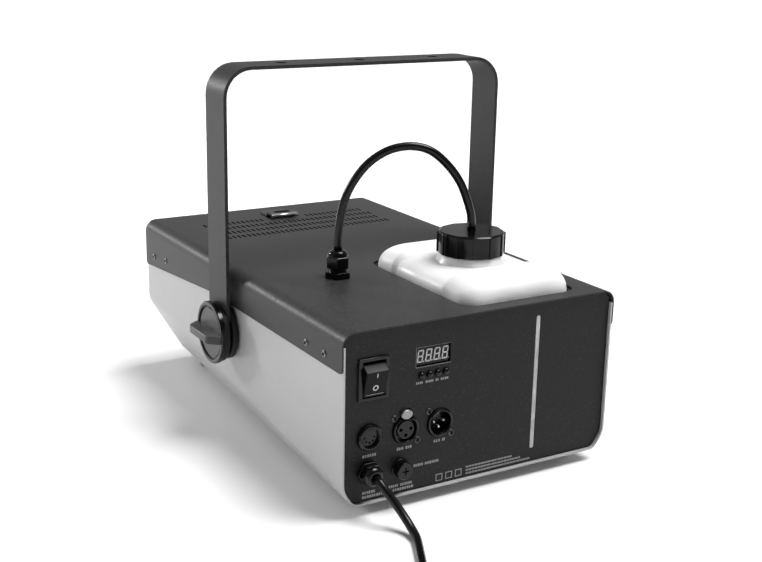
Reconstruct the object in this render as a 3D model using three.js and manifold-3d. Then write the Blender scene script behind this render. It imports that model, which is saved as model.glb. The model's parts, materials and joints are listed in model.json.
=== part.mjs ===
// A stage fog machine: a low sheet-metal body with a hanging bracket, a lift-out fluid bottle and a
// rear control panel. Millimetres, +Z up. The nozzle faces -Y, the control panel faces +Y, and the
// origin is on the floor under the middle of the body.

import * as THREE from 'three';
import { mergeVertices } from 'three/addons/utils/BufferGeometryUtils.js';
import Module from 'manifold-3d';

const wasm = await Module();
wasm.setup();

// ---------------------------------------------------------------- driving dimensions

const FIT = 0.3;                        // gap left between pieces that touch

const BODY_LENGTH = 415;
const COVER_WIDTH = 264;
const COVER_TOP = 154;
const FOOT_HEIGHT = 10;
const COVER_SHEET = 1.2;
const CHASSIS_SHEET = 1.5;
const PANEL_SHEET = 1.5;
const PANEL_INSET = 2.5;                // panels sit this far inside the ends of the body
const BEND_RADIUS = 11;                 // outside radius of the cover's long bends
const PANEL_TOP = 151.9;
const CHASSIS_TOP = 142.5;              // the chassis sides end just under the cover's bends
const CHASSIS_BEND = 6;                 // how far each fold of the chassis eats into its flats

const REAR_FLOOR_HALF = 121;            // flat floor half width and chamfer height, rear then front
const REAR_CHAMFER_TOP = 24.5;
const FRONT_FLOOR_HALF = 94;
const FRONT_CHAMFER_TOP = 71;

const FLANGE_LOW_REAR = 121.4;          // lower edge of the cover's side flanges
const FLANGE_LOW_FRONT = 108.5;
const FLANGE_KINK_Y = -46;

const PIVOT = { y: -4, z: 96 };
const YOKE = { outer: 140.8, sheet: 3, width: 38, top: 331, bend: 26, hole: 5.2, holePitch: 78 };
const STUD_RADIUS = 4;
const KNOB_RADIUS = 28;
const FRICTION_RADIUS = 25.5;

const BOTTLE = { x: -47, y: 114, halfX: 56, halfY: 78, base: 28, top: 172.5, shoulder: 168.5, wall: 2 };
const CAP = { radius: 29.5, low: 174.8, top: 194.5, facets: 12 };
const NECK = { radius: 24, bore: 20.5, top: 190.8 };
const HOSE_RADIUS = 3.6;
const HOSE_GLAND = { x: 59.4, y: 67.6, low: 139.8, top: 178.1, collar: 162.4 };

const CORD_RADIUS = 3.4;
const CORD_GLAND = { x: 107, z: 36.5, end: 219 };
const SOCKET_Z = 65.6;
const SOCKETS_X = { remote: 106, dmxOut: 73, dmxIn: 40.8 };
const LATCH = { z: 78.9, halfX: 5.2, halfZ: 3.9 };
const SWITCH = { x: 103.3, z: 113.6, pivotY: 199, restTilt: -14.5, face: 11.5, half: 11, reach: 14.4 };
const DISPLAY = { x: 48.6, z: 123.5, width: 32.6, height: 16.4 };
const BUTTON = { x: 59.4, z: 108.4, pitch: 7.6, count: 4, radius: 2.9 };
const FUSE = { x: 77, z: 34 };
const SIGHT = { x: -54, low: 23.5, high: 141.5, width: 4.4 };
const NOZZLE = { z: 74, end: -219 };
const PUMP = { x: 66, z: 40, rear: 100, front: 20 };
const VENT = { half: 1.3, length: 11.2, pitch: 5.2, rows: [-101.5, -119.5, -137.5, -155.5], span: 91 };
const EYELET = { halfWidth: 15, rear: -153.5, root: -168, front: -186, rise: 3 };

const REAR = BODY_LENGTH / 2;
const FRONT = -BODY_LENGTH / 2;
const PANEL_FACE = REAR - PANEL_INSET;
const FLOOR_TOP = FOOT_HEIGHT + CHASSIS_SHEET + FIT;
const CHASSIS_HALF = COVER_WIDTH / 2 - COVER_SHEET - FIT;

// ---------------------------------------------------------------- geometry helpers

const radians = THREE.MathUtils.degToRad;
const lerp = THREE.MathUtils.lerp;

// A closed mesh with shared vertices, no flattened triangles and its faces pointing out.
function weld(geometry) {
  const bare = geometry.clone();
  bare.deleteAttribute('normal');
  bare.deleteAttribute('uv');
  const merged = mergeVertices(bare, 1e-4);
  const corners = merged.index.array;
  const kept = [];
  for (let i = 0; i < corners.length; i += 3) {
    const [a, b, c] = corners.slice(i, i + 3);
    if (a !== b && b !== c && c !== a) kept.push(a, b, c);
  }
  merged.setIndex(kept);
  return signedVolume(merged) < 0 ? flipped(merged) : merged;
}

function signedVolume(geometry) {
  const place = geometry.attributes.position;
  const corners = geometry.index.array;
  const [a, b, c] = [new THREE.Vector3(), new THREE.Vector3(), new THREE.Vector3()];
  let total = 0;
  for (let i = 0; i < corners.length; i += 3) {
    a.fromBufferAttribute(place, corners[i]);
    b.fromBufferAttribute(place, corners[i + 1]);
    c.fromBufferAttribute(place, corners[i + 2]);
    total += a.dot(b.cross(c));
  }
  return total / 6;
}

function flipped(geometry) {
  const corners = Array.from(geometry.index.array);
  for (let i = 0; i < corners.length; i += 3) {
    [corners[i + 1], corners[i + 2]] = [corners[i + 2], corners[i + 1]];
  }
  geometry.setIndex(corners);
  return geometry;
}

function toManifold(geometry) {
  const welded = weld(geometry);
  return new wasm.Manifold(new wasm.Mesh({
    numProp: 3,
    vertProperties: new Float32Array(welded.attributes.position.array),
    triVerts: new Uint32Array(welded.index.array),
  }));
}

function fromManifold(manifold) {
  const mesh = manifold.getMesh();
  const geometry = new THREE.BufferGeometry();
  geometry.setAttribute('position', new THREE.BufferAttribute(mesh.vertProperties, 3));
  geometry.setIndex(new THREE.BufferAttribute(mesh.triVerts, 1));
  return geometry;
}

function cut(geometry, ...tools) {
  return fromManifold(tools.reduce((body, tool) => body.subtract(toManifold(tool)), toManifold(geometry)));
}

function join(geometry, ...others) {
  return fromManifold(others.reduce((body, other) => body.add(toManifold(other)), toManifold(geometry)));
}

function common(geometry, other) {
  return fromManifold(toManifold(geometry).intersect(toManifold(other)));
}

// Turns a piece built along +Z so that it runs along the named axis.
// Outlines for X are drawn in (y, z), and outlines for Y in (x, z).
function extrude(shape, from, to, axis, options = {}) {
  const { bevel = 0, curveSegments = 6 } = options;
  const geometry = new THREE.ExtrudeGeometry(shape, {
    depth: to - from - 2 * bevel,
    bevelEnabled: bevel > 0,
    bevelThickness: bevel,
    bevelSize: bevel,
    bevelOffset: -bevel,
    bevelSegments: 1,
    curveSegments,
  });
  if (axis === 'y') return weld(geometry.translate(0, 0, bevel - to).rotateX(Math.PI / 2));
  geometry.translate(0, 0, from + bevel);
  if (axis === 'x') {
    const turn = new THREE.Matrix4().makeBasis(
      new THREE.Vector3(0, 1, 0), new THREE.Vector3(0, 0, 1), new THREE.Vector3(1, 0, 0));
    geometry.applyMatrix4(turn);
  }
  return weld(geometry);
}

// A turned piece: the profile is a list of [radius, distance along the axis].
function turned(profile, sides, axis, centre = [0, 0, 0]) {
  const points = profile.map(([radius, along]) => new THREE.Vector2(radius, along));
  const geometry = new THREE.LatheGeometry(points, sides);
  if (axis === 'x') geometry.rotateZ(-Math.PI / 2);
  if (axis === 'z') geometry.rotateX(Math.PI / 2);
  return weld(geometry.translate(...centre));
}

function cylinder(radius, from, to, sides, axis, centre) {
  return turned([[0, from], [radius, from], [radius, to], [0, to]], sides, axis, centre);
}

function box(x0, x1, y0, y1, z0, z1) {
  const geometry = new THREE.BoxGeometry(x1 - x0, y1 - y0, z1 - z0);
  return weld(geometry.translate((x0 + x1) / 2, (y0 + y1) / 2, (z0 + z1) / 2));
}

// A polygon whose corners are [x, y, radius]; a corner without a radius stays sharp.
function rounded(corners) {
  const shape = new THREE.Shape();
  corners.forEach(([x, y, radius = 0], i) => {
    const here = new THREE.Vector2(x, y);
    const [before, after] = [corners.at(i - 1), corners[(i + 1) % corners.length]].map(
      ([nearX, nearY]) => new THREE.Vector2(nearX, nearY).sub(here).setLength(radius).add(here));
    if (i === 0) shape.moveTo(before.x, before.y);
    else shape.lineTo(before.x, before.y);
    if (radius > 0) shape.quadraticCurveTo(x, y, after.x, after.y);
  });
  shape.closePath();
  return shape;
}

function roundedBox(x, y, halfX, halfY, radius) {
  return rounded([
    [x - halfX, y - halfY, radius], [x + halfX, y - halfY, radius],
    [x + halfX, y + halfY, radius], [x - halfX, y + halfY, radius]]);
}

function disc(x, y, radius) {
  return new THREE.Shape().absarc(x, y, radius, 0, 2 * Math.PI);
}

function oval(x, y, halfX, halfY) {
  return new THREE.Shape().absellipse(x, y, halfX, halfY, 0, 2 * Math.PI);
}

function arc(x, y, radius, from, to, steps) {
  return Array.from({ length: steps + 1 }, (_, i) => {
    const angle = radians(lerp(from, to, i / steps));
    return [x + radius * Math.cos(angle), y + radius * Math.sin(angle)];
  });
}

// The path moved sideways to its left, with mitred corners.
function sideways(path, distance) {
  const heading = (from, to) => new THREE.Vector2(to[0] - from[0], to[1] - from[1]).normalize();
  return path.map((point, i) => {
    const out = i < path.length - 1 ? heading(point, path[i + 1]) : heading(path[i - 1], point);
    const into = i > 0 ? heading(path[i - 1], point) : out;
    const scale = distance / (1 + into.dot(out));
    return [point[0] - (into.y + out.y) * scale, point[1] + (into.x + out.x) * scale];
  });
}

// The path with its corners eased; a corner is [x, y, setback], where the setback is the length
// that the bend takes from each side of the corner.
function eased(path) {
  return path.flatMap(([x, y, setback = 0], i) => {
    if (setback === 0) return [[x, y]];
    const corner = new THREE.Vector2(x, y);
    const [start, end] = [path[i - 1], path[i + 1]].map(([nearX, nearY]) =>
      new THREE.Vector2(nearX, nearY).sub(corner).setLength(setback).add(corner));
    const bend = new THREE.QuadraticBezierCurve(start, corner, end);
    return bend.getPoints(4).map((point) => [point.x, point.y]);
  });
}

// The outline of a folded sheet whose outside follows the path.
function sheetOutline(path, thickness) {
  return [...path.map(([x, y]) => [x, y]), ...sideways(path, thickness).reverse()];
}

function folded(path, thickness, from, to, axis) {
  return extrude(rounded(sheetOutline(path, thickness)), from, to, axis);
}

// A solid through matching rings of points; each section is { y, ring: [[x, z], ...] }.
function loft(sections) {
  const vectors = sections.map(({ ring }) => ring.map(([x, z]) => new THREE.Vector2(x, z)));
  if (THREE.ShapeUtils.isClockWise(vectors[0])) vectors.forEach((ring) => ring.reverse());
  const count = vectors[0].length;
  const positions = sections.flatMap(({ y }, s) => vectors[s].flatMap(({ x, y: z }) => [x, y, z]));
  const corners = [];
  for (let s = 0; s < sections.length - 1; s += 1) {
    for (let i = 0; i < count; i += 1) {
      const [a, b] = [s * count + i, s * count + (i + 1) % count];
      corners.push(a, b + count, b, a, a + count, b + count);
    }
  }
  const last = (sections.length - 1) * count;
  THREE.ShapeUtils.triangulateShape(vectors[0], []).forEach(([a, b, c]) => corners.push(a, b, c));
  THREE.ShapeUtils.triangulateShape(vectors.at(-1), []).forEach(([a, b, c]) => {
    corners.push(last + a, last + c, last + b);
  });
  const geometry = new THREE.BufferGeometry();
  geometry.setAttribute('position', new THREE.Float32BufferAttribute(positions, 3));
  geometry.setIndex(corners);
  return weld(geometry);
}

function tube(points, radius, sides, steps) {
  const places = points.map((point) => new THREE.Vector3(...point));
  const path = new THREE.CatmullRomCurve3(places, false, 'centripetal');
  const section = disc(0, 0, radius);
  return weld(new THREE.ExtrudeGeometry(section, { extrudePath: path, steps, curveSegments: sides / 2 }));
}

// ---------------------------------------------------------------- materials and assembly

const part = new THREE.Group();

const FINISHES = {
  coverPaint: { color: 0x3f4042, roughness: 0.62, metalness: 0.3 },
  chassisPaint: { color: 0xc4c6c8, roughness: 0.5, metalness: 0.3 },
  panelPaint: { color: 0x1f2022, roughness: 0.75, metalness: 0.2 },
  bracketPaint: { color: 0x48494b, roughness: 0.65, metalness: 0.3 },
  blackPlastic: { color: 0x111214, roughness: 0.4, metalness: 0 },
  greyPlastic: { color: 0x3b3c3e, roughness: 0.5, metalness: 0 },
  glossPlastic: { color: 0x0b0b0d, roughness: 0.2, metalness: 0 },
  bottlePlastic: { color: 0xeef0f0, roughness: 0.45, metalness: 0 },
  rubber: { color: 0x17181a, roughness: 0.85, metalness: 0 },
  steel: { color: 0xb9bcc0, roughness: 0.3, metalness: 1 },
  brass: { color: 0xb8975a, roughness: 0.35, metalness: 1 },
  aluminium: { color: 0xa9adb1, roughness: 0.45, metalness: 1 },
  circuitBoard: { color: 0x1e4a2c, roughness: 0.5, metalness: 0 },
  lightStrip: { color: 0xdfe4e6, roughness: 0.35, metalness: 0 },
};

function add(name, geometry, finish, place = {}) {
  const mesh = new THREE.Mesh(geometry, new THREE.MeshStandardMaterial(FINISHES[finish]));
  mesh.name = name;
  if (place.position) mesh.position.set(...place.position);
  if (place.rotation) mesh.rotation.set(...place.rotation);
  part.add(mesh);
  return mesh;
}

// ---------------------------------------------------------------- chassis, cover and panels

// Outside of the chassis at one station, from the top of one side round the floor to the other.
function chassisPath(y) {
  const t = (y - FRONT) / BODY_LENGTH;
  const floorHalf = lerp(FRONT_FLOOR_HALF, REAR_FLOOR_HALF, t);
  const chamferTop = lerp(FRONT_CHAMFER_TOP, REAR_CHAMFER_TOP, t);
  return eased([
    [-CHASSIS_HALF, CHASSIS_TOP], [-CHASSIS_HALF, chamferTop, CHASSIS_BEND],
    [-floorHalf, FOOT_HEIGHT, CHASSIS_BEND], [floorHalf, FOOT_HEIGHT, CHASSIS_BEND],
    [CHASSIS_HALF, chamferTop, CHASSIS_BEND], [CHASSIS_HALF, CHASSIS_TOP]]);
}

function makeChassis() {
  const shell = loft([FRONT, REAR].map((y) => ({ y, ring: sheetOutline(chassisPath(y), CHASSIS_SHEET) })));
  const reach = CHASSIS_HALF + 2;
  return cut(shell, cylinder(STUD_RADIUS + FIT, -reach, reach, 16, 'x', [0, PIVOT.y, PIVOT.z]));
}

// Side view of the cover, with the flange's lower edge kinked at the bracket.
function coverSide() {
  const [top, corner] = [COVER_TOP + 1, 5];
  return rounded([
    [FRONT, top], [FRONT, FLANGE_LOW_FRONT, corner], [FLANGE_KINK_Y, FLANGE_LOW_REAR],
    [REAR, FLANGE_LOW_REAR, corner], [REAR, top]]);
}

function ventSlots() {
  const slots = [];
  const tip = VENT.length / 2;
  VENT.rows.forEach((y, row) => {
    const shift = (row % 2) * VENT.pitch / 2;
    for (let x = -VENT.span + shift; x <= VENT.span; x += VENT.pitch) {
      const behindEyelet = y < EYELET.rear + 8 && Math.abs(x) < EYELET.halfWidth + 8;
      if (behindEyelet) continue;
      const slot = rounded([
        [x + VENT.half, y - tip + 1], [x + VENT.half, y + tip - 1], [x, y + tip],
        [x - VENT.half, y + tip - 1], [x - VENT.half, y - tip + 1], [x, y - tip]]);
      slots.push(extrude(slot, COVER_TOP - 3, COVER_TOP + 1, 'z'));
    }
  });
  return slots;
}

function makeCover() {
  const half = COVER_WIDTH / 2;
  const bend = arc(half - BEND_RADIUS, COVER_TOP - BEND_RADIUS, BEND_RADIUS, 0, 90, 6);
  const right = [[half, FLANGE_LOW_FRONT - 1], ...bend];
  const path = [...right, ...right.map(([x, z]) => [-x, z]).reverse()];
  const trough = folded(path, COVER_SHEET, FRONT, REAR, 'y');
  const shell = common(trough, extrude(coverSide(), -half - 1, half + 1, 'x'));
  const bottleHole = roundedBox(BOTTLE.x, BOTTLE.y, BOTTLE.halfX + 1.8, BOTTLE.halfY + 1.8, 18);
  return cut(
    shell,
    extrude(bottleHole, COVER_TOP - 4, COVER_TOP + 2, 'z'),
    cylinder(8.1, COVER_TOP - 4, COVER_TOP + 2, 20, 'z', [HOSE_GLAND.x, HOSE_GLAND.y, 0]),
    ...ventSlots(),
  );
}

// A panel fills the section of the body just inside one end, up to the underside of the cover.
function panelShape(y) {
  const inside = sideways(chassisPath(y), CHASSIS_SHEET + FIT);
  const half = inside.at(-1)[0];
  const bend = BEND_RADIUS - COVER_SHEET - CHASSIS_SHEET;
  const corner = arc(half - bend, PANEL_TOP - bend, bend, 0, 90, 5);
  return rounded([...inside, ...corner, ...corner.map(([x, z]) => [-x, z]).reverse()]);
}

function makeRearPanel() {
  const plate = extrude(panelShape(PANEL_FACE), PANEL_FACE - PANEL_SHEET, PANEL_FACE, 'y');
  const [near, far] = [PANEL_FACE - 4, PANEL_FACE + 2];
  const square = (x, z, halfX, halfZ, radius = 0) =>
    extrude(roundedBox(x, z, halfX, halfZ, radius), near, far, 'y', { curveSegments: 4 });
  const round = (x, z, radius) => cylinder(radius, near, far, 24, 'y', [x, 0, z]);
  const buttonHoles = Array.from({ length: BUTTON.count }, (_, i) =>
    round(BUTTON.x - i * BUTTON.pitch, BUTTON.z, BUTTON.radius + FIT));
  return cut(
    plate,
    square(SWITCH.x, SWITCH.z, 12.7, 16.8),
    square(DISPLAY.x, DISPLAY.z, DISPLAY.width / 2, DISPLAY.height / 2),
    ...buttonHoles,
    round(SOCKETS_X.remote, SOCKET_Z, 9.9),
    round(SOCKETS_X.dmxOut, SOCKET_Z, 12.3),
    round(SOCKETS_X.dmxIn, SOCKET_Z, 12.3),
    square(SOCKETS_X.dmxOut, LATCH.z, LATCH.halfX + FIT, LATCH.halfZ + FIT, 3),
    round(FUSE.x, FUSE.z, 6.9),
    round(CORD_GLAND.x, CORD_GLAND.z, 8),
    square(SIGHT.x, (SIGHT.low + SIGHT.high) / 2, SIGHT.width / 2, (SIGHT.high - SIGHT.low) / 2, 2.1),
  );
}

function makeFrontPanel() {
  const face = -PANEL_FACE;
  const plate = extrude(panelShape(face), face, face + PANEL_SHEET, 'y');
  return cut(plate, extrude(disc(0, NOZZLE.z, 19), face - 2, face + 4, 'y', { curveSegments: 14 }));
}

add('chassis', makeChassis(), 'chassisPaint');
add('top_cover', makeCover(), 'coverPaint');
add('rear_panel', makeRearPanel(), 'panelPaint');
add('front_panel', makeFrontPanel(), 'panelPaint');

// Rubber feet, a little wider apart at the rear where the floor is wider.
const FEET = {
  front_left: [78, -172], front_right: [-78, -172], rear_left: [98, 172], rear_right: [-98, 172],
};
const FOOT_PROFILE = [[0, 0], [9.5, 0], [11, 1.5], [11, FOOT_HEIGHT - FIT], [0, FOOT_HEIGHT - FIT]];
for (const [corner, [x, y]] of Object.entries(FEET)) {
  add(`foot_${corner}`, turned(FOOT_PROFILE, 16, 'z', [x, y, 0]), 'rubber');
}

// ---------------------------------------------------------------- hanging bracket and its knobs

function makeYoke() {
  const { outer, sheet, width, top, bend, hole, holePitch } = YOKE;
  const low = PIVOT.z - width / 2;
  const right = [[outer, low], ...arc(outer - bend, top - bend, bend, 0, 90, 8)];
  const path = [...right, ...right.map(([x, z]) => [-x, z]).reverse()];
  const strap = folded(path, sheet, PIVOT.y - width / 2, PIVOT.y + width / 2, 'y');
  const side = rounded([
    [PIVOT.y - width / 2, low, width / 2], [PIVOT.y + width / 2, low, width / 2],
    [PIVOT.y + width / 2, top + 1], [PIVOT.y - width / 2, top + 1]]);
  const boltHoles = [-1, 0, 1].map((place) =>
    cylinder(hole, top - sheet - 1, top + 1, 20, 'z', [place * holePitch, PIVOT.y, 0]));
  const pivotHole = cylinder(STUD_RADIUS + FIT, -outer - 1, outer + 1, 16, 'x', [0, PIVOT.y, PIVOT.z]);
  return cut(common(strap, extrude(side, -outer - 1, outer + 1, 'x')), ...boltHoles, pivotHole);
}

add('yoke', makeYoke(), 'bracketPaint');

// Distances out from the middle of the body for the stack on each pivot.
const STACK = {
  headIn: 122.7, chassisIn: CHASSIS_HALF - CHASSIS_SHEET - FIT, chassisOut: CHASSIS_HALF + FIT,
  discIn: COVER_WIDTH / 2 + FIT, discOut: YOKE.outer - YOKE.sheet - FIT,
  washerIn: YOKE.outer + FIT, washerOut: 144.7, knobIn: 145, knobFace: 149.2, wingTop: 161,
};
const BORE = STUD_RADIUS + FIT;

const STUD_PROFILE = [
  [0, STACK.headIn], [7, STACK.headIn], [7, STACK.chassisIn], [STUD_RADIUS, STACK.chassisIn],
  [STUD_RADIUS, STACK.knobFace - 3], [0, STACK.knobFace - 3]];

// The friction disc bears on the chassis with its hub and clears the cover's flange with its rim.
const FRICTION_PROFILE = [
  [BORE, STACK.chassisOut], [19, STACK.chassisOut], [19, STACK.discIn],
  [FRICTION_RADIUS - 0.8, STACK.discIn], [FRICTION_RADIUS, STACK.discIn + 0.8],
  [FRICTION_RADIUS, STACK.discOut - 0.8], [FRICTION_RADIUS - 0.8, STACK.discOut],
  [BORE, STACK.discOut], [BORE, STACK.chassisOut]];

const WASHER_PROFILE = [
  [BORE, STACK.washerIn], [KNOB_RADIUS - 1, STACK.washerIn], [KNOB_RADIUS - 1, STACK.washerOut],
  [BORE, STACK.washerOut], [BORE, STACK.washerIn]];

function makeKnob() {
  const { knobIn, knobFace, wingTop } = STACK;
  const dished = turned([
    [0, knobFace - 2.4], [BORE, knobFace - 2.4], [BORE, knobIn], [KNOB_RADIUS, knobIn],
    [KNOB_RADIUS, knobFace - 0.7], [KNOB_RADIUS - 0.7, knobFace], [KNOB_RADIUS - 3.6, knobFace],
    [KNOB_RADIUS - 4, knobFace - 1.6], [KNOB_RADIUS - 5.2, knobFace - 1.6],
    [KNOB_RADIUS - 5.6, knobFace - 0.6],
    [0, knobFace - 0.6]], 32, 'x');
  const reach = KNOB_RADIUS - 1;
  const wing = rounded([
    [knobFace - 1.2, -reach], [knobFace + 2, -reach], [wingTop, -reach + 7, 4],
    [wingTop, reach - 7, 4], [knobFace + 2, reach], [knobFace - 1.2, reach]]);
  return join(dished, extrude(wing, -3.6, 3.6, 'z', { bevel: 0.7, curveSegments: 4 }));
}

for (const [side, turn] of [['left', 0], ['right', Math.PI]]) {
  const place = { position: [0, PIVOT.y, PIVOT.z], rotation: [0, 0, turn] };
  add(`pivot_stud_${side}`, turned(STUD_PROFILE, 16, 'x'), 'steel', place);
  add(`friction_disc_${side}`, turned(FRICTION_PROFILE, 32, 'x'), 'rubber', place);
  add(`knob_washer_${side}`, turned(WASHER_PROFILE, 32, 'x'), 'rubber', place);
  add(`knob_${side}`, makeKnob(), 'greyPlastic', place);
}

// ---------------------------------------------------------------- rear panel fittings

const BEHIND = PANEL_FACE - PANEL_SHEET - FIT;   // nothing fixed behind the panel is nearer than this
const PROUD = PANEL_FACE + FIT;

function makeSwitchFrame() {
  const { x, z } = SWITCH;
  const rim = roundedBox(x, z, 13.7, 17.4, 0.8);
  const bezel = extrude(rim, PROUD, PROUD + 2, 'y', { bevel: 0.5, curveSegments: 1 });
  const housing = box(x - 12.3, x + 12.3, 180, PROUD + 1, z - 16.4, z + 16.4);
  return cut(join(bezel, housing), box(x - 10.3, x + 10.3, 182, PROUD + 3, z - 14.7, z + 14.7));
}

// The rocker is drawn level about its pivot, in (y, z), with a flat face and ends that follow its
// swing. It rests with its top half out.
function makeRocker() {
  const { face, half, reach } = SWITCH;
  const top = [[face, half], ...arc(0, 0, reach, 75, 115, 3)];
  const side = rounded([...top, [-8, 4], [-8, -4], ...top.map(([y, z]) => [y, -z]).reverse()]);
  return extrude(side, -9.9, 9.9, 'x', { bevel: 0.4 });
}

add('switch_frame', makeSwitchFrame(), 'blackPlastic');
add('switch_rocker', makeRocker(), 'glossPlastic', {
  position: [SWITCH.x, SWITCH.pivotY, SWITCH.z], rotation: [radians(SWITCH.restTilt), 0, 0] });

const BOARD = { front: 187.6, back: 186 };

add('control_board', box(20, 78, BOARD.back, BOARD.front, 98, 146), 'circuitBoard');
add('display_module', extrude(
  roundedBox(DISPLAY.x, DISPLAY.z, DISPLAY.width / 2 + 1, DISPLAY.height / 2 + 1, 0),
  BOARD.front + FIT, BEHIND, 'y'), 'glossPlastic');

const BUTTON_PROFILE = [
  [0, 189.4], [2, 189.4], [2, 196], [BUTTON.radius + 0.7, 196], [BUTTON.radius + 0.7, 198],
  [BUTTON.radius, 198], [BUTTON.radius, PROUD + 1], [BUTTON.radius - 0.5, PROUD + 1.9],
  [BUTTON.radius - 1.4, PROUD + 2.5], [0, PROUD + 2.8]];
for (let i = 0; i < BUTTON.count; i += 1) {
  const centre = [BUTTON.x - i * BUTTON.pitch, 0, BUTTON.z];
  add(`menu_button_${i + 1}`, turned(BUTTON_PROFILE, 14, 'y', centre), 'blackPlastic');
}

// Round panel sockets: a proud ring around a recessed face, on a body that runs back from the panel.
function makeRemoteSocket() {
  const centre = [SOCKETS_X.remote, 0, SOCKET_Z];
  const body = turned([
    [0, 184], [9.5, 184], [9.5, PROUD], [11.3, PROUD], [11.3, PROUD + 1], [10.7, PROUD + 2.6],
    [9.6, PROUD + 3.4], [8.4, PROUD + 3.4], [7.6, PROUD + 2.8], [7.2, PROUD + 0.6], [0, PROUD + 0.6]],
    32, 'y', centre);
  const contactHoles = Array.from({ length: 5 }, (_, i) => {
    const angle = radians(-45 * i);
    return cylinder(0.9, 190, PROUD + 5, 8, 'y', [
      centre[0] + 4.3 * Math.cos(angle), 0, centre[2] + 4.3 * Math.sin(angle)]);
  });
  return cut(body, ...contactHoles);
}

// Offsets in x and z of the three contacts, each side of the centre and below it.
const CONTACTS = [[-4.6, 0.6], [4.6, 0.6], [0, -4.4]];

function socketBody(x, recess) {
  return turned([
    [0, 181], [11.3, 181], [11.3, 199.5], [11.8, 199.5], [11.8, PROUD + 0.8], [11.4, PROUD + 1.6],
    [10.6, PROUD + 2], [10, PROUD + 1.7], [9.6, PROUD + 1], [9.3, recess], [0, recess]],
    30, 'y', [x, 0, SOCKET_Z]);
}

function makeDmxOut() {
  const x = SOCKETS_X.dmxOut;
  const insert = turned([
    [0, 202], [7.9, 202], [7.9, PROUD + 0.4], [7.4, PROUD + 0.9], [0, PROUD + 0.9]],
    28, 'y', [x, 0, SOCKET_Z]);
  const holes = CONTACTS.map(([dx, dz]) =>
    cylinder(1.5, 190, PROUD + 4, 12, 'y', [x + dx, 0, SOCKET_Z + dz]));
  const latchHalf = LATCH.halfX + FIT;
  const latchSlot = box(x - latchHalf, x + latchHalf, 196, PROUD + 4, LATCH.z - LATCH.halfZ - FIT, 90);
  return cut(join(socketBody(x, 202.5), insert), ...holes, latchSlot);
}

function makeDmxIn() {
  return socketBody(SOCKETS_X.dmxIn, 190);
}

function makeDmxPins() {
  const x = SOCKETS_X.dmxIn;
  const base = cylinder(8.9, 190 + FIT, 191.6, 24, 'y', [x, 0, SOCKET_Z]);
  const tip = PANEL_FACE - 0.6;
  const pin = [[0, 191], [1.2, 191], [1.2, tip - 0.8], [0.6, tip], [0, tip]];
  const pins = CONTACTS.map(([dx, dz]) => turned(pin, 10, 'y', [x + dx, 0, SOCKET_Z + dz]));
  return join(base, ...pins);
}

add('remote_socket', makeRemoteSocket(), 'blackPlastic');
add('dmx_out_socket', makeDmxOut(), 'blackPlastic');
const latchOutline = oval(SOCKETS_X.dmxOut, LATCH.z, LATCH.halfX, LATCH.halfZ);
add('dmx_out_latch', extrude(
  latchOutline, 200, PROUD + 2.6, 'y', { bevel: 0.5, curveSegments: 9 }), 'steel');
add('dmx_in_socket', makeDmxIn(), 'blackPlastic');
add('dmx_in_pins', makeDmxPins(), 'steel');

const FUSE_CENTRE = [FUSE.x, 0, FUSE.z];
add('fuse_holder', turned([
  [4.9, 180], [6.4, 180], [6.4, PROUD], [8.1, PROUD], [8.1, PROUD + 1.2], [7.6, PROUD + 1.7],
  [4.9, PROUD + 1.7], [4.9, 180]], 28, 'y', FUSE_CENTRE), 'blackPlastic');

function makeFuseCap() {
  const base = PROUD + 1.7 + FIT;
  const knob = turned([
    [0, 184], [4.5, 184], [4.5, base], [7.5, base], [7.3, base + 6.2], [6.6, base + 6.9], [0, base + 6.9]],
    28, 'y', FUSE_CENTRE);
  const slot = (halfX, halfZ) => box(
    FUSE.x - halfX, FUSE.x + halfX, base + 5.4, base + 8, FUSE.z - halfZ, FUSE.z + halfZ);
  return cut(knob, slot(3, 0.6), slot(0.6, 3));
}
add('fuse_cap', makeFuseCap(), 'blackPlastic');

// Cable glands: a hexagon that seats on the sheet, and a domed nut that grips the cord or hose.
function hexagon(acrossFlats, x, y) {
  const corner = acrossFlats / Math.sqrt(3);
  return rounded(arc(x, y, corner, 0, 300, 5));
}

const GLAND_SEAT = PROUD + 3.4;
function makeCordGland() {
  const { x, z } = CORD_GLAND;
  const flange = extrude(hexagon(17.8, x, z), PROUD, GLAND_SEAT, 'y', { bevel: 0.4 });
  const thread = cylinder(7.4, 190, PROUD + 1, 24, 'y', [x, 0, z]);
  return cut(join(flange, thread), cylinder(CORD_RADIUS + 0.6, 180, GLAND_SEAT + 2, 20, 'y', [x, 0, z]));
}

function makeCordGlandNut() {
  const { x, z, end } = CORD_GLAND;
  const hex = extrude(hexagon(16.6, x, z), GLAND_SEAT + FIT, end - 4.6, 'y', { bevel: 0.4 });
  const dome = turned([
    [0, end - 6], [8.4, end - 6], [8.3, end - 3.6], [7.6, end - 1.8], [6.6, end - 0.6], [5.3, end],
    [0, end]], 24, 'y', [x, 0, z]);
  return cut(join(hex, dome), cylinder(CORD_RADIUS + 0.6, 200, end + 2, 20, 'y', [x, 0, z]));
}

add('cord_gland', makeCordGland(), 'blackPlastic');
add('cord_gland_nut', makeCordGlandNut(), 'blackPlastic');

const SIGHT_MIDDLE = (SIGHT.low + SIGHT.high) / 2;
const SIGHT_HALF = (SIGHT.high - SIGHT.low) / 2;
const sightOutline = roundedBox(SIGHT.x, SIGHT_MIDDLE, SIGHT.width / 2 - FIT, SIGHT_HALF - FIT, 1.8);
add('sight_window', extrude(
  sightOutline, 200.5, PANEL_FACE - 0.3, 'y', { curveSegments: 4 }), 'lightStrip');
add('light_board', box(SIGHT.x - 6, SIGHT.x + 6, 197.6, 199.4, SIGHT.low, SIGHT.high), 'circuitBoard');

// ---------------------------------------------------------------- fluid bottle and its tray

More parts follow.
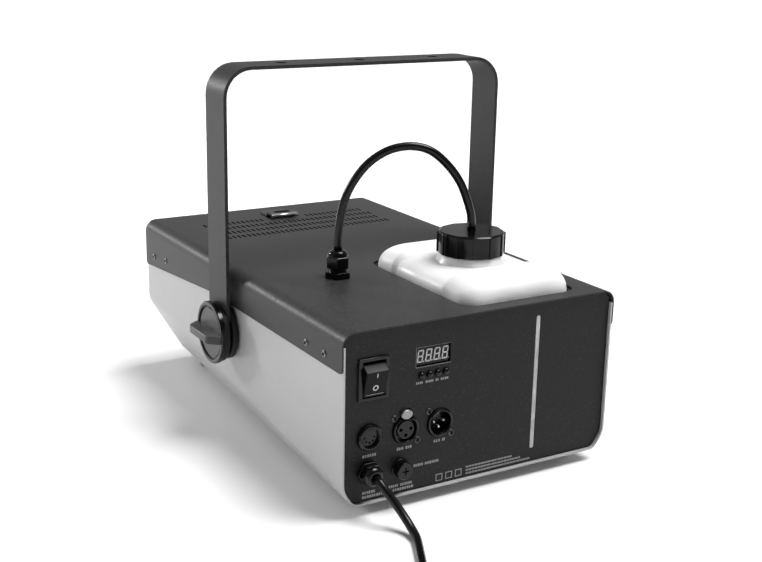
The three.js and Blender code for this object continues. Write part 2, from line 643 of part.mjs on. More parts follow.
// Section of the bottle at y, pushed in by a margin: flat sides under an elliptical shoulder.
function bottleRing(y, margin) {
  const { x, halfX, halfY, base, top, shoulder } = BOTTLE;
  const toEnd = Math.max(halfY - Math.abs(y - BOTTLE.y), 0);
  const cornerRadius = 20;
  const endSlope = 34;
  const round = (radius) => (toEnd < radius ? 1 - Math.sqrt(1 - ((radius - toEnd) / radius) ** 2) : 0);
  const waist = THREE.MathUtils.smoothstep(toEnd, 41, 44);
  const half = halfX - cornerRadius * round(cornerRadius) - 2 * waist - margin;
  const crown = lerp(top, shoulder, waist) - 19 * round(endSlope) - margin;
  const rise = Math.max(crown - (COVER_TOP - 6), 1);
  const shoulders = Array.from({ length: 7 }, (_, i) => {
    const angle = radians(i * 15);
    return [half - 34 * (1 - Math.cos(angle)), crown - rise * (1 - Math.sin(angle))];
  });
  const right = [[half - 8, base + margin], [half, base + 8 + margin], ...shoulders];
  return [...right, ...right.map(([dx, z]) => [-dx, z]).reverse()].map(([dx, z]) => [x + dx, z]);
}

function makeBottle() {
  const { x, y, halfY, wall } = BOTTLE;
  const stations = [0, 1.5, 5, 10, 16, 24, 34, 41, 44];
  const spread = [...stations, ...stations.map((near) => 2 * halfY - near).reverse()];
  const solid = (margin) => loft(spread.map((along) => {
    const place = y - halfY + along;
    const inside = y + (place - y) * (halfY - margin) / halfY;
    return { y: inside, ring: bottleRing(place, margin) };
  }));
  const centre = [x, y, 0];
  const seat = CAP.low - FIT;
  const collar = turned(
    [[0, 150], [28.4, 150], [28.4, seat - 0.6], [27.8, seat], [0, seat]], CAP.facets, 'z', centre);
  const neck = cylinder(NECK.radius, 160, NECK.top, 32, 'z', centre);
  const mouth = cylinder(NECK.bore, 150, NECK.top + 2, 32, 'z', centre);
  return cut(join(solid(0), collar, neck), solid(wall), mouth);
}

// The cap is a faceted cup over the neck, with a hole for the hose.
function makeCap() {
  const { radius, low, top, facets } = CAP;
  const cup = turned(
    [[0, low], [radius, low], [radius, top - 1.6], [radius - 1.6, top], [0, top]], facets, 'z');
  const inside = cylinder(NECK.radius + 1.2, low - 1, top - 3, 32, 'z');
  const hoseHole = cylinder(HOSE_RADIUS + 0.5, top - 5, top + 1, 16, 'z');
  return cut(cup, inside, hoseHole);
}

add('fluid_bottle', makeBottle(), 'bottlePlastic');
add('bottle_cap', makeCap(), 'glossPlastic', { position: [BOTTLE.x, BOTTLE.y, 0] });
add('pickup_tube', turned([
  [0, 33], [6, 33], [7, 34], [7, 46], [6, 47], [3, 47], [3, NECK.top - 0.3], [0, NECK.top - 0.3]],
  16, 'z', [BOTTLE.x, BOTTLE.y, 0]), 'rubber');

// An open tray on rails, with a flange under the cover that closes in on the bottle.
const TRAY = { x0: -107.5, x1: 13, y0: 31, y1: 197.3, floor: BOTTLE.base - FIT, top: 151.6, sheet: 1.2 };
function makeTray() {
  const { x0, x1, y0, y1, floor, top, sheet } = TRAY;
  const tub = box(x0, x1, y0, y1, floor - sheet, top);
  const inside = box(x0 + sheet, x1 - sheet, y0 + sheet, y1 - sheet, floor, top - sheet);
  const mouth = roundedBox(BOTTLE.x, BOTTLE.y, BOTTLE.halfX + 1, BOTTLE.halfY + 1, 22);
  const rails = [x0 + 14, x1 - 22].map((x) =>
    box(x, x + 8, y0 + 10, y1 - 10, FLOOR_TOP, floor - sheet + 0.4));
  return cut(join(tub, ...rails), inside, extrude(mouth, top - 3, top + 1, 'z', { curveSegments: 5 }));
}
add('bottle_tray', makeTray(), 'coverPaint');

function makeHoseGland() {
  const { x, y, low, collar } = HOSE_GLAND;
  const seat = COVER_TOP + FIT;
  const flange = extrude(hexagon(21.2, x, y), seat, seat + 5.4, 'z', { bevel: 0.5 });
  const thread = cylinder(7.8, low, collar, 24, 'z', [x, y, 0]);
  return cut(join(flange, thread), cylinder(HOSE_RADIUS + 0.5, low - 1, collar + 1, 16, 'z', [x, y, 0]));
}

function makeHoseGlandNut() {
  const { x, y, top, collar } = HOSE_GLAND;
  const low = collar + FIT;
  const hex = extrude(hexagon(18.4, x, y), low, top - 5.2, 'z', { bevel: 0.5 });
  const dome = turned([
    [0, top - 6.4], [8.8, top - 6.4], [8.8, top - 4.8], [8.2, top - 2.6], [7, top - 1], [5.4, top - 0.1],
    [4.4, top], [0, top]], 24, 'z', [x, y, 0]);
  return cut(join(hex, dome), cylinder(HOSE_RADIUS + 0.5, low - 1, top + 1, 16, 'z', [x, y, 0]));
}

add('hose_gland', makeHoseGland(), 'glossPlastic');
add('hose_gland_nut', makeHoseGlandNut(), 'glossPlastic');

// The hose arches from its gland to the middle of the bottle cap.
const HOSE_ROUTE = [
  [59.4, 67.6, HOSE_GLAND.top + FIT], [59.4, 67.8, 190], [58.6, 68.3, 201], [56.8, 69, 212.5],
  [53.6, 70.4, 225], [47.3, 73.1, 238.6], [35.6, 78.2, 254.2], [19.8, 85.1, 264.8], [2.6, 92.6, 267.9],
  [-11.7, 98.8, 264.2], [-25.1, 104.7, 252.7], [-36.3, 109.5, 236.7], [-43.4, 112.6, 218],
  [-46.4, 113.8, 206], [-47, 114, CAP.top + FIT]];
add('fluid_hose', tube(HOSE_ROUTE, HOSE_RADIUS, 8, 30), 'rubber');

// ---------------------------------------------------------------- safety eyelet on the cover

// A plate on the cover whose rear half bridges up and turns down again at its edge.
function makeEyelet() {
  const { halfWidth, rear, root, front, rise } = EYELET;
  const seat = COVER_TOP + FIT;
  const side = [
    [front, seat], [root, seat], [root + 3, seat + rise], [rear - 3, seat + rise], [rear, seat + 0.8]];
  const bent = extrude(rounded(sheetOutline(side, 2)), -halfWidth, halfWidth, 'x');
  const plan = rounded([
    [-halfWidth, front - 1, 9], [halfWidth, front - 1, 9],
    [halfWidth, rear + 3, 4], [-halfWidth, rear + 3, 4]]);
  const clipHole = extrude(roundedBox(0, (root + rear) / 2 - 1, 9, 3.6, 3.4), seat - 2, seat + 14, 'z');
  return cut(common(bent, extrude(plan, seat - 1, seat + 14, 'z')), clipHole);
}
add('safety_eyelet', makeEyelet(), 'bracketPaint');

// ---------------------------------------------------------------- heater, pump and boards inside

function makeHeaterBlock() {
  const section = rounded([[-38, 48, 3], [38, 48, 3], [38, 100, 8], [-38, 100, 8]]);
  const block = extrude(section, -188, -50, 'y', { curveSegments: 3 });
  const legs = [[-26, -170], [26, -170], [-26, -70], [26, -70]].map(([x, y]) =>
    cylinder(4, FLOOR_TOP, 50, 12, 'z', [x, y, 0]));
  return join(block, ...legs);
}

add('heater_block', makeHeaterBlock(), 'aluminium');
add('heater_shroud', folded([
  [-66, FLOOR_TOP], [-52, FLOOR_TOP], [-52, 116], [52, 116], [52, FLOOR_TOP], [66, FLOOR_TOP]],
  1, -192, -40, 'y'), 'steel');
add('thermostat', cylinder(8, 100.3, 108, 20, 'z', [0, -118, 0]), 'brass');
add('nozzle_tube', turned(
  [[1.6, -188.3], [5, -188.3], [5, -201], [1.6, -201], [1.6, -188.3]], 16, 'y', [0, 0, NOZZLE.z]), 'steel');

function makeNozzleTip() {
  const hex = extrude(hexagon(17, 0, NOZZLE.z), -208, -201.3, 'y', { bevel: 0.5 });
  const cone = [[0, NOZZLE.end], [4, NOZZLE.end], [6, NOZZLE.end + 3], [6, -206], [0, -206]];
  const tip = turned(cone, 20, 'y', [0, 0, NOZZLE.z]);
  return cut(join(hex, tip), cylinder(1.6, NOZZLE.end - 1, -200, 12, 'y', [0, 0, NOZZLE.z]));
}
add('nozzle_tip', makeNozzleTip(), 'brass');

function makePumpBody() {
  const { x, z, rear, front } = PUMP;
  const middle = (rear + front) / 2;
  const coil = extrude(roundedBox(x, z, 19, 17, 4), middle - 22, middle + 18, 'y', { curveSegments: 2 });
  const barrel = cylinder(9, front, rear, 20, 'y', [x, 0, z]);
  return cut(join(coil, barrel), cylinder(5.2, front - 1, rear + 1, 16, 'y', [x, 0, z]));
}

add('pump_body', makePumpBody(), 'blackPlastic');
add('pump_plunger', turned(
  [[0, 38], [3.6, 38], [4.9, 40], [4.9, 80], [3.6, 82], [0, 82]], 16, 'y', [PUMP.x, 0, PUMP.z]), 'steel');
add('pump_bracket', folded([
  [PUMP.x - 22, 34], [PUMP.x - 22, FLOOR_TOP], [PUMP.x + 22, FLOOR_TOP], [PUMP.x + 22, 34]],
  1.2, 44, 74, 'y'), 'steel');

const SUCTION_ROUTE = [
  [59.4, 67.6, HOSE_GLAND.low - FIT], [59.4, 69.6, 126], [61, 84, 104], [64, 108, 86], [66, 126, 68],
  [66, 130, 52], [66, 120, 42], [66, 110, 40], [66, PUMP.rear + FIT, 40]];
const PRESSURE_ROUTE = [
  [66, PUMP.front - FIT, 40], [66, 10, 40], [62, -5, 46], [48, -18, 59], [32, -26, 69], [23, -33, 73.4],
  [20, -41, 74], [20, -49.7, 74]];
add('suction_hose', tube(SUCTION_ROUTE, 3, 8, 20), 'rubber');
add('pressure_hose', tube(PRESSURE_ROUTE, 3, 8, 14), 'rubber');

function makePowerBoard() {
  const plate = box(-104, -20, -28, 22, 22, 23.6);
  const posts = [[-96, -20], [-28, -20], [-96, 14], [-28, 14]].map(([x, y]) =>
    cylinder(3, FLOOR_TOP, 22.4, 10, 'z', [x, y, 0]));
  const relays = [[-84, -6], [-58, -6]].map(([x, y]) => box(x - 10, x + 10, y - 8, y + 8, 23, 40));
  return join(plate, ...posts, ...relays);
}
add('power_board', makePowerBoard(), 'circuitBoard');

// ---------------------------------------------------------------- mains cord, its coil and plug

// The cord drops from its gland to the floor and runs to a coil of the rest of its length.
const COIL = { x: 204, y: 366, inner: 35.8, outer: 57, low: 0.2, shoulder: 7.2, top: 13.2 };
const CORD_ROUTE = [
  [107, CORD_GLAND.end + FIT, 36.5], [106.4, 224, 34.6], [104.6, 228, 30.6], [101.8, 232, 25.4],
  [98.6, 237, 19], [95.9, 244, 12], [95, 252, 6.8], [97.2, 263, 4.2], [102.6, 275, 3.7],
  [109.6, 289, 3.7], [118, 306, 3.7], [127, 325, 3.7], [135.5, 345, 3.7], [142.8, 361.8, 3.7]];
const TAIL_ROUTE = [
  [242, 415.5, 6.6], [249, 415.2, 4.9], [256, 415, 4.2], [262, 415, 4.7], [266.5, 415, 6.1]];
const PLUG = { tilt: -19, rear: [267.6, 415, 6.6] };

add('power_cord', tube(CORD_ROUTE, CORD_RADIUS, 10, 24), 'rubber');
add('cord_coil', turned([
  [COIL.inner, COIL.low], [COIL.outer, COIL.low], [COIL.outer, COIL.shoulder], [COIL.outer - 4, COIL.top],
  [COIL.inner + 4, COIL.top], [COIL.inner, COIL.shoulder], [COIL.inner, COIL.low]],
  36, 'z', [COIL.x, COIL.y, 0]), 'rubber');
add('cord_tail', tube(TAIL_ROUTE, CORD_RADIUS, 10, 4), 'rubber');

function makePlug() {
  const body = turned([
    [0, 0], [5, 0], [7, 18], [10, 22], [13.5, 32], [18.2, 37], [18.5, 50], [0, 50]], 28, 'x');
  const pin = [[0, 48], [2.4, 48], [2.4, 67.5], [1.4, 69], [0, 69]];
  const pins = [-9.5, 9.5].map((y) => turned(pin, 10, 'x', [0, y, 0]));
  return join(body, ...pins);
}
add('mains_plug', makePlug(), 'rubber', { position: PLUG.rear, rotation: [0, radians(PLUG.tilt), 0] });

export default part;
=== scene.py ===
"""A stage fog machine, seen from its rear left on a pale studio floor."""
import json
import math

import bpy
from mathutils import Matrix, Vector


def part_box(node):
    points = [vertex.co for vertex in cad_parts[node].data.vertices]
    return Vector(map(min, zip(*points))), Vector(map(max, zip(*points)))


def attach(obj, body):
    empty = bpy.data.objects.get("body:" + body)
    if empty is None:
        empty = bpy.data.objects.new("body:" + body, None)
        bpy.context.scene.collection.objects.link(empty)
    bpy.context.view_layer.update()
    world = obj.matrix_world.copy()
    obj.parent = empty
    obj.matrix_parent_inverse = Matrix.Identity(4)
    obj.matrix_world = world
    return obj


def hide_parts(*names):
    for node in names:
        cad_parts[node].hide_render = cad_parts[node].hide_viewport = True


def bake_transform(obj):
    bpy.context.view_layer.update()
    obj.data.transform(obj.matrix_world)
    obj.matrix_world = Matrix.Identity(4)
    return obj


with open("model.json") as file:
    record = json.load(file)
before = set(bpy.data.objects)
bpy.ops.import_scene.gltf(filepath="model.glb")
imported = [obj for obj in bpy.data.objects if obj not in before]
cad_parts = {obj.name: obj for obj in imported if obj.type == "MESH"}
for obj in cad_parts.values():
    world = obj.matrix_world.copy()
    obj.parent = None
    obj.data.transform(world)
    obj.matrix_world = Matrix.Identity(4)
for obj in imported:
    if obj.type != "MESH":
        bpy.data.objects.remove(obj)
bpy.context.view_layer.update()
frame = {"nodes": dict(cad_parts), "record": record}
NODES = frame["nodes"]
SCENE = bpy.context.scene


# ---------------------------------------------------------------- camera

def make_camera(place, azimuth, elevation, roll, lens, shift):
    yaw, pitch, tilt = (math.radians(angle) for angle in (azimuth, elevation, roll))
    back = Vector((math.sin(yaw) * math.cos(pitch), -math.cos(yaw) * math.cos(pitch), math.sin(pitch)))
    level = Vector((math.cos(yaw), math.sin(yaw), 0))
    upright = back.cross(level)
    right = level * math.cos(tilt) + upright * math.sin(tilt)
    up = back.cross(right)
    data = bpy.data.cameras.new("camera")
    data.lens = lens
    data.sensor_width = 36
    data.shift_x, data.shift_y = shift
    camera = bpy.data.objects.new("camera", data)
    SCENE.collection.objects.link(camera)
    turn = Matrix((right, up, back)).transposed().to_4x4()
    camera.matrix_world = Matrix.Translation(place) @ turn
    SCENE.camera = camera


make_camera((0.5559, 0.9679, 0.4443), azimuth=149.06, elevation=15.97, roll=1.15, lens=58.33,
            shift=(0.0009, 0.0011))


# ---------------------------------------------------------------- mesh helpers

def new_object(name, data, body):
    obj = bpy.data.objects.new(name, data)
    SCENE.collection.objects.link(obj)
    if body:
        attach(obj, body)
    return obj


def mesh_object(name, vertices, faces, body, slot=None, smooth=True):
    mesh = bpy.data.meshes.new(name)
    mesh.from_pydata([tuple(v) for v in vertices], [], faces)
    mesh.validate()
    mesh.update()
    if smooth:
        mesh.shade_smooth()
    return new_object(name, mesh, body)


def catmull_rom(points, step):
    """Points about one step apart along a centripetal Catmull-Rom curve."""
    knots = [Vector(p) for p in points]
    knots = [2 * knots[0] - knots[1]] + knots + [2 * knots[-1] - knots[-2]]
    out = []
    for p0, p1, p2, p3 in zip(knots, knots[1:], knots[2:], knots[3:]):
        t1 = (p1 - p0).length ** 0.5
        t2 = t1 + (p2 - p1).length ** 0.5
        t3 = t2 + (p3 - p2).length ** 0.5
        count = max(1, round((p2 - p1).length / step))
        for i in range(count):
            t = t1 + (t2 - t1) * i / count
            a1 = p0.lerp(p1, t / t1)
            a2 = p1.lerp(p2, (t - t1) / (t2 - t1))
            a3 = p2.lerp(p3, (t - t2) / (t3 - t2))
            b1 = a1.lerp(a2, t / t2)
            b2 = a2.lerp(a3, (t - t1) / (t3 - t1))
            out.append(b1.lerp(b2, (t - t1) / (t2 - t1)))
    return out + [knots[-2]]


def tube_mesh(points, radius, sides):
    """Rings of vertices and faces along a path, with closed ends."""
    vertices, faces = [], []
    side = None
    for i, here in enumerate(points):
        ahead = (points[min(i + 1, len(points) - 1)] - points[max(i - 1, 0)]).normalized()
        side = ahead.orthogonal() if side is None else side - ahead * side.dot(ahead)
        side.normalize()
        other = ahead.cross(side)
        for k in range(sides):
            angle = 2 * math.pi * k / sides
            vertices.append(here + radius * (side * math.cos(angle) + other * math.sin(angle)))
    for i in range(len(points) - 1):
        for k in range(sides):
            a, b = i * sides + k, i * sides + (k + 1) % sides
            faces.append((a, b, b + sides, a + sides))
    last = (len(points) - 1) * sides
    faces.append(tuple(range(sides - 1, -1, -1)))
    faces.append(tuple(range(last, last + sides)))
    return vertices, faces


# ---------------------------------------------------------------- mains cord and fluid hose

def smooth_step(t):
    t = min(max(t, 0), 1)
    return t * t * (3 - 2 * t)


ROUTE_STEP = 0.004                       # how far apart the rings of the cord and the hose are
CORD_RADIUS = 0.0034
CORD_ROUTE = [
    (0.1070, 0.2193, 0.0365), (0.1064, 0.2240, 0.0346), (0.1046, 0.2280, 0.0306), (0.1018, 0.2320, 0.0254),
    (0.0986, 0.2370, 0.0190), (0.0959, 0.2440, 0.0120), (0.0950, 0.2520, 0.0068), (0.0972, 0.2630, 0.0042),
    (0.1026, 0.2750, 0.0037), (0.1096, 0.2890, 0.0037), (0.1180, 0.3060, 0.0037), (0.1270, 0.3250, 0.0037),
    (0.1355, 0.3450, 0.0037), (0.1428, 0.3618, 0.0037)]
COIL_CENTRE = (0.204, 0.366)
COIL_RADII = (0.0534, 0.0464, 0.0394, 0.0429, 0.0499)
COIL_ENTRY = 153.3                       # degrees round the coil where the cord comes in
COIL_EXIT = 90.0
LOWER, UPPER = 0.0037, 0.0097            # heights of the two layers
SHIFT_START = 290                        # degrees into each turn where it moves over to the next radius
CLIMB_START, CLIMB_LENGTH = 890, 120     # degrees wound before the climb to the upper layer, and its length
TAIL_ROUTE = [
    (0.2160, 0.4159, 0.0096), (0.2270, 0.4159, 0.0094), (0.2350, 0.4158, 0.0083), (0.2420, 0.4155, 0.0066),
    (0.2490, 0.4152, 0.0049), (0.2560, 0.4150, 0.0042), (0.2620, 0.4150, 0.0047), (0.2676, 0.4150, 0.0066)]


def coil_points():
    """Two layers of turns, wound inward on the floor and outward on top of themselves."""
    points = []
    step = 8
    last = len(COIL_RADII) - 1
    total = 360 * len(COIL_RADII) + COIL_ENTRY - COIL_EXIT
    for done in range(0, int(total) + 1, step):
        turn, part = divmod(done, 360)
        radius = COIL_RADII[min(turn, last)]
        if turn < last:
            shift = smooth_step((part - SHIFT_START) / (360 - SHIFT_START))
            radius += (COIL_RADII[turn + 1] - radius) * shift
        height = LOWER + (UPPER - LOWER) * smooth_step((done - CLIMB_START) / CLIMB_LENGTH)
        angle = math.radians(COIL_ENTRY - done)
        points.append((
            COIL_CENTRE[0] + radius * math.cos(angle), COIL_CENTRE[1] + radius * math.sin(angle), height))
    return points


def make_cord():
    route = catmull_rom(CORD_ROUTE + coil_points() + TAIL_ROUTE, ROUTE_STEP)
    cord = mesh_object("mains_cord", *tube_mesh(route, CORD_RADIUS, 14), None, "cord_jacket")
    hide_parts("power_cord", "cord_coil", "cord_tail")
    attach(cord, "body")
    return cord


HOSE_RADIUS = 0.0036
HOSE_ROUTE = [
    (0.0594, 0.0676, 0.1784), (0.0594, 0.0678, 0.1900), (0.0586, 0.0683, 0.2010), (0.0568, 0.0690, 0.2125),
    (0.0536, 0.0704, 0.2250), (0.0473, 0.0731, 0.2386), (0.0356, 0.0782, 0.2542), (0.0198, 0.0851, 0.2648),
    (0.0026, 0.0926, 0.2679), (-0.0117, 0.0988, 0.2642), (-0.0251, 0.1047, 0.2527), (-0.0363, 0.1095, 0.2367),
    (-0.0434, 0.1126, 0.2180), (-0.0464, 0.1138, 0.2060), (-0.0470, 0.1140, 0.1948)]


def make_hose():
    route = catmull_rom(HOSE_ROUTE, ROUTE_STEP)
    hose = mesh_object("hose", *tube_mesh(route, HOSE_RADIUS, 20), None, "hose_rubber")
    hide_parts("fluid_hose")
    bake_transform(hose)
    return hose


CORD = make_cord()
HOSE = make_hose()


# ---------------------------------------------------------------- materials

def linear(value):
    """Linear light for an sRGB grey of 0 to 255."""
    v = value / 255
    return v / 12.92 if v <= 0.04045 else ((v + 0.055) / 1.055) ** 2.4


def grey(value, tint=(1.0, 1.0, 1.0)):
    return (*(linear(value) * t for t in tint), 1.0)


class Material:
    """A Principled material and short ways to add nodes to it."""

    def __init__(self, name, **sockets):
        self.material = bpy.data.materials.new(name)
        self.material.use_nodes = True
        self.tree = self.material.node_tree
        self.shader = self.tree.nodes["Principled BSDF"]
        for socket, value in sockets.items():
            self.shader.inputs[socket.replace("_", " ")].default_value = value
        self.place = self.tree.nodes.new("ShaderNodeTexCoord").outputs["Object"]

    def node(self, kind, settings=None, **inputs):
        node = self.tree.nodes.new(kind)
        for key, value in (settings or {}).items():
            setattr(node, key, value)
        for key, value in inputs.items():
            socket = node.inputs[key.replace("_", " ")]
            if isinstance(value, bpy.types.NodeSocket):
                self.tree.links.new(value, socket)
            else:
                socket.default_value = value
        return node

    def noise(self, scale, detail=2.0, roughness=0.5):
        return self.node("ShaderNodeTexNoise", Vector=self.place, Scale=scale, Detail=detail,
                         Roughness=roughness).outputs["Fac"]

    def ranged(self, value, low, high, out_low, out_high):
        return self.node("ShaderNodeMapRange", Value=value, From_Min=low, From_Max=high, To_Min=out_low,
                         To_Max=out_high).outputs["Result"]

    def blend(self, factor, low, high):
        node = self.node("ShaderNodeMix", {"data_type": "RGBA"})
        self.tree.links.new(factor, node.inputs["Factor"])
        for socket, value in ((node.inputs[6], low), (node.inputs[7], high)):
            if isinstance(value, bpy.types.NodeSocket):
                self.tree.links.new(value, socket)
            else:
                socket.default_value = value
        return node.outputs[2]

    def colour(self, value):
        self.tree.links.new(value, self.shader.inputs["Base Color"])

    def rough(self, value):
        self.tree.links.new(value, self.shader.inputs["Roughness"])

    def bump(self, height, strength, distance):
        node = self.node("ShaderNodeBump", Height=height, Strength=strength, Distance=distance)
        self.tree.links.new(node.outputs["Normal"], self.shader.inputs["Normal"])


def powder_coat(name, tone, grain=620, rough=(0.36, 0.56), contrast=0.22, bump=0.45, speck=0.0, gloss=0.3):
    """Textured powder coat: a fine grain in tone, gloss and height, over slow drifts of tone."""
    m = Material(name, Metallic=0.0, Specular_IOR_Level=gloss)
    fine = m.noise(grain, 3.0, 0.6)
    drift = m.noise(7, 3.0, 0.55)
    low, high = grey(tone * (1 - contrast)), grey(tone * (1 + contrast))
    coat = m.blend(m.ranged(fine, 0.3, 0.7, 0, 1), low, high)
    drifted = m.blend(m.ranged(drift, 0.3, 0.7, 0, 0.18), coat, grey(tone * 1.25))
    if speck:
        sparkle = m.ranged(m.noise(grain * 0.8, 1.0), 0.68, 0.74, 0, speck)
        drifted = m.blend(sparkle, drifted, grey(min(tone * 3.2, 235)))
    m.colour(drifted)
    m.rough(m.ranged(fine, 0.3, 0.7, *rough))
    m.bump(fine, bump, 0.00025)
    return m.material


def moulded(name, tone, rough, contrast=0.18, gloss=0.5):
    """Moulded plastic: a slight skin texture and faint handling marks."""
    m = Material(name, Metallic=0.0, Specular_IOR_Level=gloss)
    fine = m.noise(1600, 2.0)
    marks = m.noise(55, 4.0, 0.65)
    low, high = grey(tone * (1 - contrast)), grey(tone * (1 + contrast))
    m.colour(m.blend(m.ranged(marks, 0.3, 0.75, 0, 1), low, high))
    m.rough(m.ranged(marks, 0.3, 0.7, *rough))
    m.bump(fine, 0.12, 0.00008)
    return m.material


def metal(name, tone, tint=(1, 1, 1), rough=(0.22, 0.38)):
    """Bare or plated metal with a fine grain in its tone, its gloss and its height."""
    m = Material(name, Metallic=1.0)
    fine = m.noise(900, 3.0, 0.6)
    low, high = grey(tone * 0.86, tint), grey(min(tone * 1.1, 250), tint)
    m.colour(m.blend(m.ranged(fine, 0.3, 0.7, 0, 1), low, high))
    m.rough(m.ranged(fine, 0.3, 0.7, *rough))
    m.bump(fine, 0.1, 0.00005)
    return m.material


def rubber(name, tone, rough=(0.5, 0.7), bump=0.2, gloss=0.4):
    """Rubber or soft sheathing, with traces of dust on it."""
    m = Material(name, Metallic=0.0, Specular_IOR_Level=gloss)
    fine = m.noise(1300, 3.0, 0.6)
    dust = m.noise(40, 4.0, 0.7)
    m.colour(m.blend(m.ranged(dust, 0.35, 0.75, 0, 1), grey(tone * 0.85), grey(tone * 1.35)))
    m.rough(m.ranged(dust, 0.3, 0.7, *rough))
    m.bump(fine, bump, 0.0001)
    return m.material


def bottle_plastic():
    """Blow-moulded polyethylene: milky, with a soft waviness."""
    m = Material("bottle_plastic", Metallic=0.0, Subsurface_Weight=0.42, Subsurface_Scale=0.012,
                 Subsurface_Radius=(1, 1, 1))
    wave = m.noise(26, 2.0)
    fine = m.noise(420, 2.0)
    m.colour(m.blend(m.ranged(wave, 0.3, 0.7, 0, 1), grey(238), grey(247)))
    m.rough(m.ranged(wave, 0.3, 0.7, 0.34, 0.5))
    m.bump(fine, 0.1, 0.0003)
    return m.material


def circuit_board():
    """Green board with a web of lighter tracks."""
    m = Material("circuit_board", Metallic=0.0)
    tracks = m.node("ShaderNodeTexVoronoi", {"feature": "DISTANCE_TO_EDGE"}, Vector=m.place, Scale=260.0)
    line = m.ranged(tracks.outputs["Distance"], 0.03, 0.06, 1, 0)
    m.colour(m.blend(line, (0.008, 0.045, 0.02, 1), (0.03, 0.14, 0.06, 1)))
    m.rough(m.ranged(line, 0, 1, 0.35, 0.5))
    return m.material


def strip_plastic():
    """Frosted light strip, a little cloudy and finely ribbed along its length."""
    m = Material("light_strip", Metallic=0.0)
    ribs = m.node("ShaderNodeTexWave", {"bands_direction": "Z"}, Vector=m.place, Scale=160.0, Distortion=0.6)
    cloud = m.noise(90, 3.0)
    m.colour(m.blend(m.ranged(cloud, 0.3, 0.7, 0, 1), grey(168), grey(206)))
    m.rough(m.ranged(cloud, 0.3, 0.7, 0.35, 0.55))
    m.bump(ribs.outputs["Fac"], 0.15, 0.0002)
    return m.material


FINISHES = {
    "cover_paint": powder_coat("cover_paint", 45, contrast=0.36, bump=0.6, gloss=0.28),
    "chassis_paint": powder_coat("chassis_paint", 178, contrast=0.03, bump=0.12, rough=(0.36, 0.5)),
    "panel_paint": powder_coat("panel_paint", 29, contrast=0.3, grain=700, speck=0.3, gloss=0.2),
    "bracket_paint": powder_coat("bracket_paint", 42, contrast=0.36, bump=0.6, gloss=0.22),
    "eyelet_paint": powder_coat("eyelet_paint", 58, contrast=0.16, bump=0.3),
    "black_plastic": moulded("black_plastic", 10, rough=(0.16, 0.28), gloss=0.36),
    "gloss_plastic": moulded("gloss_plastic", 9, rough=(0.1, 0.2), gloss=0.26),
    "display_window": moulded("display_window", 9, rough=(0.08, 0.16), gloss=0.25),
    "knob_plastic": moulded("knob_plastic", 54, rough=(0.3, 0.42), gloss=0.35),
    "bottle_plastic": bottle_plastic(),
    "rubber": rubber("rubber", 20),
    "hose_rubber": rubber("hose_rubber", 7, rough=(0.2, 0.3), bump=0.04, gloss=0.3),
    "cord_jacket": rubber("cord_jacket", 10, rough=(0.22, 0.34), bump=0.05, gloss=0.3),
    "steel": metal("steel", 200),
    "brass": metal("brass", 205, tint=(1.0, 0.78, 0.42)),
    "aluminium": metal("aluminium", 196, rough=(0.35, 0.55)),
    "circuit_board": circuit_board(),
    "light_strip": strip_plastic(),
}
PRINT = moulded("panel_print", 150, rough=(0.5, 0.6), contrast=0.1)
SEGMENTS = moulded("display_segments", 196, rough=(0.3, 0.4), contrast=0.06)
ROCKER = moulded("rocker_plastic", 9, rough=(0.3, 0.4), gloss=0.14)
# mid-grey painted highlight for the bevelled edges of the display's window
DISPLAY_EDGE_HIGHLIGHT = moulded("display_edge_highlight", 104, rough=(0.4, 0.5), contrast=0.1)
LATCH = metal("latch_metal", 150, rough=(0.35, 0.5))
FLANGE_SCREW = metal("flange_screw", 128, rough=(0.25, 0.4))
# near-black painted shade for the recesses of the screws
PAINTED_RECESS_SHADE = moulded("screw_recess_painted_shade", 8, rough=(0.5, 0.6), gloss=0.1)
DARK_SCREW = metal("dark_screw", 92, rough=(0.25, 0.4))
# bright metal painted onto the eyelet's rolled edge as its highlight
EYELET_EDGE_HIGHLIGHT = metal("eyelet_edge_highlight", 235, rough=(0.3, 0.45))


def paint_cad():
    slots = {sub["node"]: sub["material_slot"] for sub in frame["record"]["subparts"]}
    for name, obj in NODES.items():
        obj.material_slots[0].material = FINISHES[slots[name]]
    for name, finish in {"switch_rocker": ROCKER, "dmx_out_latch": LATCH}.items():
        NODES[name].material_slots[0].material = finish


def paint(obj, finish):
    obj.data.materials.append(FINISHES[finish] if isinstance(finish, str) else finish)
    return obj


paint_cad()
paint(CORD, "cord_jacket")
paint(HOSE, "hose_rubber")


# ---------------------------------------------------------------- shading and edges of the CAD nodes

SHARP = math.radians(32)                 # edges steeper than this stay crisp, or are bevelled


def smoothing_tree():
    """Merges doubled vertices, then shades smooth across every edge flatter than its angle."""
    tree = bpy.data.node_groups.new("smooth_flat_edges", "GeometryNodeTree")
    tree.interface.new_socket("Geometry", in_out="INPUT", socket_type="NodeSocketGeometry")
    tree.interface.new_socket("Geometry", in_out="OUTPUT", socket_type="NodeSocketGeometry")
    add = tree.nodes.new
    inside, outside = add("NodeGroupInput"), add("NodeGroupOutput")
    merge = add("GeometryNodeMergeByDistance")
    merge.inputs["Distance"].default_value = 1e-6
    faces, edges = add("GeometryNodeSetShadeSmooth"), add("GeometryNodeSetShadeSmooth")
    faces.domain, edges.domain = "FACE", "EDGE"
    angle = add("GeometryNodeInputMeshEdgeAngle")
    sharper = add("FunctionNodeCompare")
    sharper.data_type, sharper.operation = "FLOAT", "GREATER_THAN"
    sharper.inputs["B"].default_value = SHARP
    edges.inputs["Shade Smooth"].default_value = False
    link = tree.links.new
    link(inside.outputs[0], merge.inputs["Geometry"])
    link(merge.outputs[0], faces.inputs["Geometry"])
    link(faces.outputs[0], edges.inputs["Geometry"])
    link(angle.outputs["Unsigned Angle"], sharper.inputs["A"])
    link(sharper.outputs[0], edges.inputs["Selection"])
    link(edges.outputs[0], outside.inputs[0])
    return tree


SMOOTHING = smoothing_tree()


